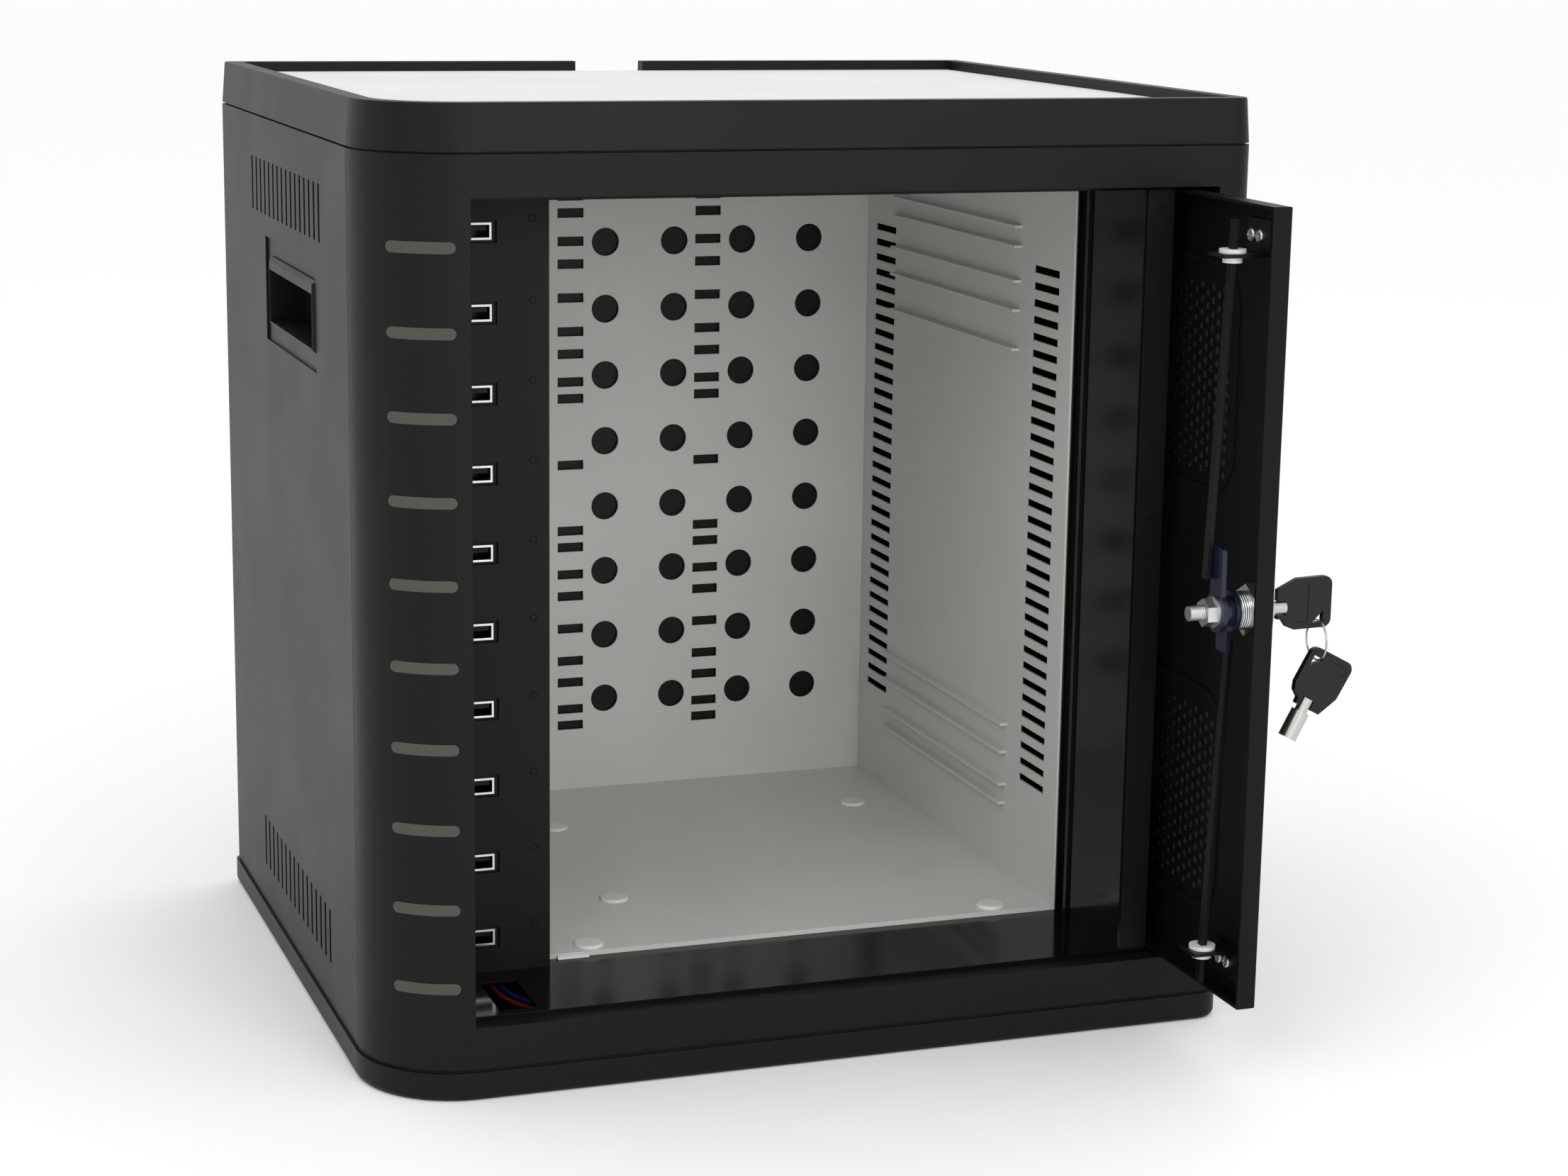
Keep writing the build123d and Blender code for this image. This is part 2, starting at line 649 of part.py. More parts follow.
# Port panel: moulded upright with one recessed opening for each port
port_x = panel_x1 - port_in
port_panel = block(in_left, panel_x1, panel_y, panel_y + panel_t, sill_top, head_low)
port_panel += block(panel_x1 - panel_t, panel_x1, panel_y, panel_y + panel_return, sill_top, head_low)
port_panel -= [
    block(port_x - port_recess_w / 2, port_x + port_recess_w / 2, panel_y, panel_y + port_recess_d,
          z - port_recess_h / 2, z + port_recess_h / 2)
    for z in port_zs
]
shell_w = port_w - 1.2
shell_h = port_h - 1.2
port_panel -= [
    block(port_x - shell_w / 2, port_x + shell_w / 2, panel_y, panel_y + panel_t + 1,
          z - shell_h / 2, z + shell_h / 2)
    for z in port_zs
]
port_back = panel_y + port_recess_d - 0.9 + port_l


def port_shell(z):
    """Folded metal shell with a flared mouth, open to the front."""
    y0 = panel_y + port_recess_d
    shell = block(port_x - shell_w / 2, port_x + shell_w / 2, y0 - 0.9, port_back,
                  z - shell_h / 2, z + shell_h / 2)
    shell += block(port_x - port_w / 2, port_x + port_w / 2, y0 - 0.9, y0, z - port_h / 2, z + port_h / 2)
    mouth_w = shell_w - 0.6
    mouth_h = shell_h - 0.6
    shell -= block(port_x - mouth_w / 2, port_x + mouth_w / 2, y0 - 1, port_back - 0.6,
                   z - mouth_h / 2, z + mouth_h / 2)
    return shell


def port_tongue(z):
    """Plastic tongue that carries the contacts, above the middle of the mouth."""
    y0 = panel_y + port_recess_d + 0.6
    return block(port_x - 5.6, port_x + 5.6, y0, port_back - 0.6, z + 0.2, z + 2.0)


save("port_panel", port_panel)
save("port_shells", *[port_shell(z) for z in port_zs])
save("port_tongues", *[port_tongue(z) for z in port_zs])
board_x0 = port_x - 34
board_x1 = port_x + 28
charging_board = block(board_x0, board_x1, port_back, port_back + board_t, board_z0, board_z1)
save("charging_board", charging_board)

# Low-voltage leads: two held wires from the power supply, under the sill, to the charging board
wire_x = psu_x0 + psu_w - 12
wire_z = in_bot + 9
wire_end_y = port_back + board_t / 2
wire_route = (
    (wire_x, psu_y0, wire_z),
    (wire_x, psu_y0 - 18, wire_z),
    (wire_x - 1.5, panel_y + 22, wire_z - 0.2),
    (wire_x + 1.5, panel_y - 10, wire_z - 0.6),
    (port_x + 24, panel_y - 29, wire_z - 1),
    (port_x + 44, panel_y - 28, wire_z - 1.2),
    (port_x + 52, panel_y - 10, wire_z - 1.2),
    (port_x + 40, panel_y + 5, wire_z - 1.2),
    (port_x + 20, wire_end_y, board_z0 - 12),
    (port_x + 20, wire_end_y, board_z0),
)


def held_wire(shift_x, shift_z):
    """Round wire along the route: straight runs joined by tangent arcs."""
    points = [Vector(x + shift_x, y, z + shift_z) for x, y, z in wire_route[:-1]]
    x, y, z = wire_route[-1]
    points.append(Vector(x + shift_x, y, z))
    radii = []
    for before, here, after in zip(points, points[1:], points[2:]):
        run_in = here - before
        run_out = after - here
        turn = run_in.get_angle(run_out)
        shorter = min(run_in.length, run_out.length)
        radii.append(0.45 * shorter / tan(radians(turn / 2)))
    path = FilletPolyline(*points, radius=radii)
    section = Plane(origin=points[0], z_dir=points[1] - points[0]) * Circle(wire_r)
    return sweep(section, path=path), min(radii), path.length


red_wire, red_least, red_length = held_wire(0.0, 0.0)
blue_wire, blue_least, blue_length = held_wire(2.4, 1.7)
print(f"wires: least radius {min(red_least, blue_least):.1f}, lengths {red_length:.1f} and {blue_length:.1f}")
save("red_wire", red_wire)
save("blue_wire", blue_wire)

# Pocket rails: two channels that face each other, one on each plate
rail_x = hinge_x + 0.5
rail_y0 = front + rail_from_front
rail_y1 = bar_y + bar_l + rail_past


def rail(z_web, side):
    """Channel along Y; side is 1 when it opens upwards and -1 when it opens downwards."""
    outer = rail_in / 2 + sheet_t
    z_lo, z_hi = sorted((z_web, z_web + side * rail_h))
    channel = block(rail_x - outer, rail_x + outer, rail_y0, rail_y1, z_lo, z_hi)
    slot_lo, slot_hi = sorted((z_web + side * sheet_t, z_web + side * (rail_h + 1)))
    return channel - block(rail_x - rail_in / 2, rail_x + rail_in / 2, rail_y0 - 1, rail_y1 + 1,
                           slot_lo, slot_hi)


save("pocket_rails", rail(in_bot, 1), rail(in_top, -1))

# Carriage: an upright bar on two nylon shoes that run in the rails and carry the door's hinges
shoe_x = rail_in / 2 - shoe_gap
shoe_y0 = bar_y + bar_l / 2 - shoe_l / 2
low_shoe_z = in_bot + sheet_t + shoe_gap
high_shoe_z = in_top - sheet_t - shoe_gap
shoes = [
    block(rail_x - shoe_x, rail_x + shoe_x, shoe_y0, shoe_y0 + shoe_l, low_shoe_z, low_shoe_z + shoe_h),
    block(rail_x - shoe_x, rail_x + shoe_x, shoe_y0, shoe_y0 + shoe_l, high_shoe_z - shoe_h, high_shoe_z),
]
bar = block(rail_x - bar_t / 2, rail_x + bar_t / 2, bar_y, bar_y + bar_l,
            low_shoe_z + shoe_h, high_shoe_z - shoe_h)
save("carriage_shoes", *shoes)
save("carriage_bar", bar)

# Hinges: two butt hinges inside the door's folded edge, from the door skin to the carriage bar
hinge_zs = [door_z0 + hinge_inset, door_z1 - hinge_inset]
knuckle_h = hinge_h / 3


def knuckle(z0, z1):
    """Rolled eye of a hinge leaf."""
    return rod_z(z0, z1, hinge_x, hinge_y, hinge_r)


hinge_leaves = []
hinge_pins = []
for z in hinge_zs:
    z_cuts = [z - hinge_h / 2 + knuckle_h * i for i in range(4)]
    door_leaf = block(skin_x - leaf_t, skin_x, hinge_y - leaf_l, hinge_y, z_cuts[1] + 0.2, z_cuts[2] - 0.2)
    door_leaf += block(skin_x - leaf_t, skin_x, hinge_y - leaf_l, hinge_y - hinge_r - 0.5,
                       z_cuts[0], z_cuts[3])
    door_leaf += knuckle(z_cuts[1] + 0.2, z_cuts[2] - 0.2)
    bar_leaf = knuckle(z_cuts[0], z_cuts[1]) + knuckle(z_cuts[2], z_cuts[3])
    leaf_x = hinge_x - leaf_t / 2
    bar_leaf += block(leaf_x, leaf_x + leaf_t, hinge_y, bar_y, z_cuts[0], z_cuts[1])
    bar_leaf += block(leaf_x, leaf_x + leaf_t, hinge_y, bar_y, z_cuts[2], z_cuts[3])
    bar_leaf += block(leaf_x, leaf_x + leaf_t, hinge_y + hinge_r + 0.5, bar_y, z_cuts[0], z_cuts[3])
    bore = rod_z(z_cuts[0] - 1, z_cuts[3] + 1, hinge_x, hinge_y, hinge_pin_r)
    hinge_leaves += [door_leaf - bore, bar_leaf - bore]
    hinge_pins.append(rod_z(z_cuts[0], z_cuts[3], hinge_x, hinge_y, hinge_pin_r))
save("hinge_leaves", *hinge_leaves)
save("hinge_pins", *hinge_pins)

# Door: a steel pan with folded edges, two perforated fields with raised beads, lock hole
door = block(door_x0, door_x1, door_y0, door_y1, door_z0, door_z1)
door = fillet(door.edges().group_by(Axis.X)[-1], 1.0)
door -= block(door_x0 - 1, skin_x, door_y0 + sheet_t, door_y1 - sheet_t, door_z0 + sheet_t, door_z1 - sheet_t)
notch_x1 = hinge_x + hinge_r
door -= [block(door_x0 - 1, notch_x1, door_y1 - 2, door_y1 + 1, z - hinge_h / 2 - 1, z + hinge_h / 2 + 1)
         for z in hinge_zs]
perf_y0 = door_y0 + perf_edge
perf_y1 = door_y1 - perf_edge
perf_mids = [door_z0 + perf_band + perf_h / 2, door_z1 - perf_band - perf_h / 2]
perf_mid_y = (perf_y0 + perf_y1) / 2


def bead(z):
    """Rounded rectangular bead on the inside of the skin, round one perforated field."""
    wide = perf_y1 - perf_y0 + 2 * bead_margin
    high = perf_h + 2 * bead_margin
    inside = RectangleRounded(wide - 2 * bead_w, high - 2 * bead_w, bead_r - bead_w)
    ring = RectangleRounded(wide, high, bead_r) - inside
    plane = Plane(origin=(skin_x, perf_mid_y, z), x_dir=(0, 1, 0), z_dir=(1, 0, 0))
    return extrude(plane * ring, amount=-bead_h)


door += [bead(z) for z in perf_mids]
step_y = perf_pitch * sin(radians(60))
cols = int((perf_y1 - perf_y0) / step_y)
rows = int(perf_h / perf_pitch)
perf_spots = []
for col in range(cols + 1):
    y = (col - cols / 2) * step_y
    lift = perf_pitch / 2 * (col % 2)
    perf_spots += [(y, (row - rows / 2) * perf_pitch + lift) for row in range(rows)]
perf_face = Sketch() + [Pos(y, z) * Circle(perf_r) for y, z in perf_spots]
for z in perf_mids:
    plane = Plane(origin=(skin_x - 2, perf_mid_y, z), x_dir=(0, 1, 0), z_dir=(1, 0, 0))
    door -= extrude(plane * perf_face, amount=sheet_t + 4)
door -= rod_x(skin_x - 1, door_x1 + 1, lock_y, lock_z, barrel_r)
save("door_panel", door)

# Lock: threaded barrel through the door skin, clamped by a big thin nut
barrel_x0 = door_x1 - barrel_l
lock_face = door_x1 + head_t
barrel = rod_x(barrel_x0, door_x1, lock_y, lock_z, barrel_r)
barrel += rod_x(door_x1, lock_face, lock_y, lock_z, head_r)
barrel -= rod_x(barrel_x0 - 1, lock_face + 1, lock_y, lock_z, plug_r + pin_fit)
lock_nut = hex_x(skin_x - nut_t, skin_x, lock_y, lock_z, nut_af)
lock_nut -= rod_x(skin_x - 9, skin_x + 1, lock_y, lock_z, barrel_r)
save("lock_barrel", barrel)
save("lock_nut", lock_nut)

# Plug: turns in the barrel; ring groove for the key at the face, threaded stud at the back
plug = rod_x(barrel_x0, lock_face, lock_y, lock_z, plug_r)
key_slot = rod_x(lock_face - key_bore_l, lock_face + 1, lock_y, lock_z, key_bore_r)
key_slot -= rod_x(lock_face - key_bore_l, lock_face - 0.5, lock_y, lock_z, key_pin_r)
plug -= key_slot
stud_x0 = skin_x - stud_tip
plug += rod_x(stud_x0, barrel_x0, lock_y, lock_z, stud_r)
save("lock_plug", plug)

# Cam: round plate with a tail for the lower rod, and the collar that spaces it from the lever
cam_x1 = barrel_x0
cam_x0 = cam_x1 - cam_t
collar_x0 = cam_x0 - collar_l
lever_x0 = collar_x0 - cam_t
stud_bore = rod_x(stud_x0 - 1, cam_x1 + 1, lock_y, lock_z, stud_r)
cam = rod_x(cam_x0, cam_x1, lock_y, lock_z, cam_r)
tail_w = 9.0
cam += block(cam_x0, cam_x1, rod_y - tail_w / 2, rod_y + tail_w / 2, lock_z - cam_arm, lock_z)
cam += rod_x(collar_x0, cam_x0, lock_y, lock_z, collar_r)
cam -= stud_bore
tongue = block(lever_x0, collar_x0, lock_y - lever_w / 2, lock_y + lever_w / 2, lock_z, lock_z + lever_l)
tongue = fillet(tongue.edges().filter_by(Axis.X).group_by(Axis.Z)[-1], lever_w / 5)
lever = rod_x(lever_x0, collar_x0, lock_y, lock_z, cam_r) + tongue
lever -= stud_bore
save("lock_cam", cam)
save("lock_lever", lever)
nut_x0 = lever_x0 - stud_nut_t
stud_nut = hex_x(nut_x0, lever_x0, lock_y, lock_z, stud_nut_af)
stud_nut += rod_x(lever_x0 - 1.2, lever_x0, lock_y, lock_z, stud_nut_af / 2 + 1.2)
stud_nut -= stud_bore
save("stud_nut", stud_nut)

# Lock rods: two flat bars that lean in to the cam, each through a nylon bushing in a bracket
bushing_x = skin_x - bushing_stand
bushing_zs = [door_z0 + bushing_in, door_z1 - bushing_in]
tip_x = lever_x0 - rod_gap - rod_t / 2
tail_x = cam_x1 + rod_gap + rod_t / 2
upper_lean = (bushing_x - tip_x) / (bushing_zs[1] - lock_z - lever_l)
lower_lean = (tail_x - bushing_x) / (lock_z - cam_arm - bushing_zs[0])
rod_in_up = 13.0
rod_in_down = cam_arm - 4


def lean_rod(z0, z1, x_at_z0, lean):
    """Flat bar from z0 to z1 whose axis leans along X by lean for each unit of Z."""
    length = (z1 - z0) / cos(atan(lean))
    bar = Pos(0, 0, length / 2) * Box(rod_t, rod_w, length)
    return Pos(x_at_z0, rod_y, z0) * Rot(0, degrees(atan(lean)), 0) * bar


upper_z0 = lock_z + rod_in_up
upper_z1 = door_z1 - rod_end_gap
lower_z0 = door_z0 + rod_end_gap
lower_z1 = lock_z - rod_in_down
upper_x0 = bushing_x - upper_lean * (bushing_zs[1] - upper_z0)
lower_x0 = bushing_x - lower_lean * (bushing_zs[0] - lower_z0)
upper_rod = lean_rod(upper_z0, upper_z1, upper_x0, upper_lean)
lower_rod = lean_rod(lower_z0, lower_z1, lower_x0, lower_lean)
save("upper_rod", upper_rod)
save("lower_rod", lower_rod)


def rod_bracket(z, side):
    """Angle bracket: arm at the bushing, plate on the skin towards the middle of the door."""
    y_lo = rod_y - 7
    arm = block(bushing_x - 7, skin_x, y_lo, rod_y + 7, z - bracket_t / 2, z + bracket_t / 2)
    z_lo, z_hi = sorted((z - side * bracket_t / 2, z + side * bracket_h))
    plate = block(skin_x - bracket_t, skin_x, y_lo, y_lo + bracket_w, z_lo, z_hi)
    return arm + plate - rod_z(z - 5, z + 5, bushing_x, rod_y, bushing_r)


def rod_bushing(z):
    """Flanged bushing with a slot for the rod, snapped into the bracket's arm."""
    z_lo = z - bracket_t / 2
    body = rod_z(z_lo - 2.4, z_lo + bracket_t, bushing_x, rod_y, bushing_r)
    body += rod_z(z_lo + bracket_t, z_lo + bracket_t + bushing_flange_t, bushing_x, rod_y, bushing_flange_r)
    slot_x = rod_t / 2 + 0.35
    slot_y = rod_w / 2 + 0.15
    return body - block(bushing_x - slot_x, bushing_x + slot_x, rod_y - slot_y, rod_y + slot_y, z - 9, z + 9)


brackets = [rod_bracket(bushing_zs[0], -1), rod_bracket(bushing_zs[1], 1)]
bracket_screw_spots = [(rod_y + 1, bushing_zs[0] - 7), (rod_y + 8, bushing_zs[0] - 7),
                       (rod_y + 1, bushing_zs[1] + 7), (rod_y + 8, bushing_zs[1] + 7)]
plate_x = skin_x - bracket_t
bracket_screws = [rod_x(plate_x - screw_head_t, plate_x, y, z, screw_head_r) for y, z in bracket_screw_spots]
save("rod_brackets", *brackets)
save("rod_bushings", *[rod_bushing(z) for z in bushing_zs])
save("bracket_screws", *bracket_screws)

# Keys: tubular keys with a moulded bow; one stands in the lock, one hangs on the split ring
hole_u = bow_l - 6.2
hole_v = bow_off - bow_h / 2 + 4.6


def key_bow():
    """Bow in its own frame: tube axis along X, the bow's start at the origin, flat in XZ."""
    low, high = bow_off - bow_h / 2, bow_off + bow_h / 2
    outline = Polyline(
        (0, -4.6), (2.4, -4.8), (4.6, low + 1.4), (8.0, low), (bow_l, low + 0.4),
        (bow_l, high), (9.0, high - 0.6), (0, 7.6), close=True,
    )
    face = make_face(outline)
    right_corners = face.vertices().group_by(Axis.X)[-1]
    face = fillet(right_corners, bow_corner_r)
    hole = make_face(Polyline((hole_u - bow_hole / 2, hole_v - 2.2), (hole_u + bow_hole / 2, hole_v - 2.2),
                              (hole_u + bow_hole / 2, hole_v + 2.8), close=True))
    label = Pos(11.8, bow_off) * Rectangle(5.2, 16.0)
    window = Pos(2.0, 0) * Rectangle(4.0, 2 * neck_r + 0.4)
    plane = Plane(origin=(0, bow_t / 2, 0), x_dir=(1, 0, 0), z_dir=(0, -1, 0))
    solid = extrude(plane * (face - hole - window), amount=bow_t)
    front_label = Plane(origin=(0, -bow_t / 2, 0), x_dir=(1, 0, 0), z_dir=(0, -1, 0)) * label
    rear_label = plane * Pos(20.4, 5.2) * Rectangle(3.6, 10.0)
    return solid - extrude(front_label, amount=-0.4) - extrude(rear_label, amount=0.4)


def key_tube():
    """Nickel tube and neck in the same frame; the tube's open end points to -X."""
    tube_end = -(bow_stand + key_in)
    tube = rod_x(tube_end, -2.0, 0, 0, tube_r) - rod_x(tube_end - 1, -bow_stand, 0, 0, tube_r - tube_wall)
    return tube + rod_x(-2.0, 4.0, 0, 0, neck_r)


bow_x = lock_face + bow_stand
key_place = Pos(bow_x, lock_y, lock_z)
bow = key_bow()
tube = key_tube()
save("key_bow", key_place * bow)
save("key_tube", key_place * tube)

ring_x = bow_x + hole_u + 1.0
hole_low = lock_z + hole_v - 2.2
ring_z = hole_low + hang_gap + ring_wire / 2 - ring_r
ring = Pos(ring_x, lock_y, ring_z) * Rot(0, 90, 0) * Torus(ring_r, ring_wire / 2)
save("key_ring", ring)

# The spare key hangs by the same corner hole, with its tube down and to the left
spare_turn = Rot(0, spare_tilt - 90, 0)
flip = Rot(180, 0, 0)
hang_mark = spare_turn * flip * Pos(hole_u + 0.9, 0, hole_v)
hang_at = hang_mark.position
spare_z = ring_z - ring_r
spare_place = Pos(ring_x - hang_at.X, lock_y, spare_z - hang_at.Z) * spare_turn * flip
save("spare_key_bow", spare_place * bow)
save("spare_key_tube", spare_place * tube)
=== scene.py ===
from math import pi, radians

import bmesh
import bpy
import numpy as np
from mathutils import Matrix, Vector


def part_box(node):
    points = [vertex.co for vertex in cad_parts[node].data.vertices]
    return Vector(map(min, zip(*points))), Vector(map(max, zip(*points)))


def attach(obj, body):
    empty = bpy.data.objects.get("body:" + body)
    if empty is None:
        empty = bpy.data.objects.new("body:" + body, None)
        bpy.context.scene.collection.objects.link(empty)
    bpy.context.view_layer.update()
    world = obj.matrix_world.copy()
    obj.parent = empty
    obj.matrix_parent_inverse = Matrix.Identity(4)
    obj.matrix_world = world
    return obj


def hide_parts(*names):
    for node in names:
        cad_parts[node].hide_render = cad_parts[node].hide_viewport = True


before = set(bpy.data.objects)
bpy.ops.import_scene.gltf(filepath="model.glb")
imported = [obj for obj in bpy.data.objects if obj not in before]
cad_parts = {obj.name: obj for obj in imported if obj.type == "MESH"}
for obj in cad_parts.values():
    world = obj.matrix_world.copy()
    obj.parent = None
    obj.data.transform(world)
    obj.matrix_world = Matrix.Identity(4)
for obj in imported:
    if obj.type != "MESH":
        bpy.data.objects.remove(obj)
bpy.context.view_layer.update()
mm = 0.001

# Moulded shell: plinth, side panels, hand grips, wrap-round front, top tray and door post. They are
# injection-moulded black plastic with a fine spark-eroded grain, screwed to the steel plates inside.
slow_scale = 18.0       # the noise that varies gloss and colour, a few centimetres across
fine_scale = 2200.0     # the noise that raises the grain, about half a millimetre across
colour_spread = 0.07


def finish(name, colour, rough, metal=0.0, grain=0.0, grain_scale=fine_scale, vary=0.06, edge=0.4,
           shine=0.5):
    """Finish on object coordinates: roughness = rough + vary (2 noise - 1), and colour times 1 + or -
    colour_spread with the same slow noise. A fine noise raises grain mm; edges are rounded by edge mm."""
    mat = bpy.data.materials.new(name)
    mat.use_nodes = True
    nodes, links = mat.node_tree.nodes, mat.node_tree.links
    shader = nodes["Principled BSDF"]
    shader.inputs["Metallic"].default_value = metal
    shader.inputs["Specular IOR Level"].default_value = shine
    place = nodes.new("ShaderNodeTexCoord")
    slow = nodes.new("ShaderNodeTexNoise")
    slow.inputs["Scale"].default_value = slow_scale
    slow.inputs["Detail"].default_value = 4.0
    links.new(place.outputs["Object"], slow.inputs["Vector"])
    spread = nodes.new("ShaderNodeMapRange")
    spread.inputs["To Min"].default_value = rough - vary
    spread.inputs["To Max"].default_value = rough + vary
    links.new(slow.outputs["Fac"], spread.inputs["Value"])
    links.new(spread.outputs["Result"], shader.inputs["Roughness"])
    tint = nodes.new("ShaderNodeMix")
    tint.name = "tint"
    tint.data_type = "RGBA"
    tint.inputs[6].default_value = (*[c * (1 - colour_spread) for c in colour], 1)
    tint.inputs[7].default_value = (*[min(c * (1 + colour_spread), 1) for c in colour], 1)
    links.new(slow.outputs["Fac"], tint.inputs[0])
    links.new(tint.outputs[2], shader.inputs["Base Color"])
    normal = None
    if edge:
        soft = nodes.new("ShaderNodeBevel")
        soft.samples = 4
        soft.inputs["Radius"].default_value = edge * mm
        normal = soft.outputs["Normal"]
    if grain:
        fine = nodes.new("ShaderNodeTexNoise")
        fine.inputs["Scale"].default_value = grain_scale
        fine.inputs["Detail"].default_value = 2.0
        links.new(place.outputs["Object"], fine.inputs["Vector"])
        bump = nodes.new("ShaderNodeBump")
        bump.inputs["Strength"].default_value = 0.6
        bump.inputs["Distance"].default_value = grain * mm
        links.new(fine.outputs["Fac"], bump.inputs["Height"])
        if normal:
            links.new(normal, bump.inputs["Normal"])
        normal = bump.outputs["Normal"]
    if normal:
        links.new(normal, shader.inputs["Normal"])
    return mat


def dress(mat, *names):
    """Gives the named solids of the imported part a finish."""
    for name in names:
        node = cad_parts[name].data
        node.materials.clear()
        node.materials.append(mat)


shell_black = finish("textured_black", (0.005, 0.005, 0.0055), 0.44, grain=0.05, edge=0.5, shine=0.15)
dress(shell_black, "base_tray", "left_side_panel", "right_side_panel", "left_grip_cup", "right_grip_cup",
      "front_bezel", "top_tray", "door_post")

# Side seams: the fine dark joint where each side panel butts on the wrapped front. It is made as a
# flat dark bead, 0.04 mm proud, that follows the joint from the plinth's seam to the tray's.
rubber_black = finish("rubber_black", (0.02, 0.02, 0.02), 0.8, grain=0.03)
bead_w = 0.5 * mm       # the bead's section is this wide along Y
bead_t = 0.08 * mm      # and this thick along X, half of it inside the panels


def quads(rows, cols, wrap):
    """Corner numbers of the faces of a rows by cols grid; wrap joins the last row to the first."""
    i, j = np.meshgrid(np.arange(rows if wrap else rows - 1), np.arange(cols), indexing="ij")
    i1, j1 = (i + 1) % rows, (j + 1) % cols
    corners = [i * cols + j, i * cols + j1, i1 * cols + j1, i1 * cols + j]
    return np.stack(corners, -1).reshape(-1, 4).tolist()


def loft(points, wrap=False):
    """Closed shell through a (rows, cols, 3) array of loops: the ends get a flat face each, or with
    wrap the last loop joins the first."""
    rows, cols = points.shape[:2]
    faces = quads(rows, cols, wrap)
    if not wrap:
        faces += [list(range(cols)), list(range((rows - 1) * cols, rows * cols))]
    return points.reshape(-1, 3), faces


def piece(name, parts, mat, body, smooth=True):
    """One mesh from closed shells (points, faces), faces outwards, with its finish and its body."""
    starts = np.cumsum([0] + [len(points) for points, faces in parts])
    points = np.concatenate([points for points, faces in parts])
    faces = [[start + i for i in face] for start, part in zip(starts, parts) for face in part[1]]
    data = bpy.data.meshes.new(name)
    data.from_pydata(points.tolist(), [], faces)
    shell = bmesh.new()
    shell.from_mesh(data)
    bmesh.ops.remove_doubles(shell, verts=shell.verts, dist=1e-7)
    bmesh.ops.recalc_face_normals(shell, faces=shell.faces)
    shell.to_mesh(data)
    shell.free()
    data.polygons.foreach_set("use_smooth", [smooth] * len(data.polygons))
    data.materials.append(mat)
    obj = bpy.data.objects.new(name, data)
    bpy.context.scene.collection.objects.link(obj)
    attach(obj, body)
    return obj


def seam_bead(x, y, z0, z1):
    """Elliptic section, half of bead_w by half of bead_t, carried up Z from z0 to z1."""
    turn = np.linspace(0, 2 * pi, 12, endpoint=False)
    levels = np.linspace(z0, z1, 12)[:, None]
    return loft(np.stack(np.broadcast_arrays(
        x + bead_t / 2 * np.cos(turn), y + bead_w / 2 * np.sin(turn), levels), -1))


panel_low, panel_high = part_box("left_side_panel")
seams = [seam_bead(x, panel_low.y, panel_low.z, panel_high.z)
         for x in (panel_low.x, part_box("right_side_panel")[1].x)]
piece("side_seams", seams, rubber_black, "cabinet")

# Feet and tray mat: four black rubber pads let into the plinth, and a pale rubber mat that lies
# loose in the top tray.
dress(rubber_black, "rubber_feet")
dress(finish("mat_grey", (0.70, 0.705, 0.71), 0.65, grain=0.03), "tray_mat")

# Steel plates, rods and brackets: bottom, top and back are cut from 1.2 mm sheet. They and the flat
# lock rods are powder coated satin black.
steel_black = finish("black_steel", (0.004, 0.004, 0.0045), 0.36, grain=0.02, shine=0.2)
dress(steel_black, "bottom_plate", "top_plate", "rear_panel", "rod_brackets", "upper_rod", "lower_rod")

# Rear screws: zinc-plated pan heads with a cross recess, three down each side. They hold the
# returned edges of the side panels to the back.
zinc = finish("zinc_steel", (0.55, 0.56, 0.57), 0.32, metal=1.0, grain=0.01, edge=0.2)
head_r = 2.8 * mm
head_t = 1.6 * mm
cross_arm = 1.7 * mm    # half the length of the recess's bars
cross_half = 0.42 * mm  # half their width
cross_deep = 0.8 * mm
cross_slope = 0.12 * mm


def within(half, distance):
    """1 inside half, 0 outside it, and a straight slope of cross_slope between."""
    return np.clip((half - np.abs(distance)) / cross_slope + 0.5, 0, 1)


def screw_head(seat, across, up, out):
    """Pan head on its seat: height = head_t (1 - (r / head_r)^6 / 2), less cross_deep inside a cross
    of two bars. The last loop lies on the seat and closes the head."""
    r = np.append(np.linspace(0.03, 1.0, 26), 1.0)[:, None] * head_r
    turn = np.linspace(0, 2 * pi, 72, endpoint=False)
    u, v = r * np.cos(turn), r * np.sin(turn)
    upright = within(cross_half, u) * within(cross_arm, v)
    level = within(cross_arm, u) * within(cross_half, v)
    height = head_t * (1 - (r / head_r) ** 6 / 2) - cross_deep * np.maximum(upright, level)
    height[-1] = 0.0
    return loft(np.array(seat) + u[..., None] * across + v[..., None] * up + height[..., None] * out)


x_axis, y_axis, z_axis = np.eye(3)
low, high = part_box("rear_screws")
bay_mid = (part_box("liner_floor")[1].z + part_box("liner_roof")[0].z) / 2
rear_heads = [screw_head((x, low.y, z), x_axis, z_axis, y_axis)
              for x in (low.x + head_r, high.x - head_r)
              for z in (low.z + head_r, bay_mid, high.z - head_r)]
rear_pan_heads = piece("rear_pan_heads", rear_heads, zinc, "cabinet", smooth=False)
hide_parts("rear_screws")

# Power inlet, switch and port panel: moulded satin black plastic. Inlet and switch snap into the
# steel back, and the inlet's pins are brass.
black_plastic = finish("black_plastic", (0.006, 0.006, 0.0065), 0.46, grain=0.03, edge=0.3, shine=0.14)
brass = finish("brass", (0.62, 0.45, 0.18), 0.3, metal=1.0, edge=0.15)
dress(black_plastic, "power_inlet", "switch_frame", "rocker", "port_panel", "port_tongues")
dress(brass, "inlet_pins")

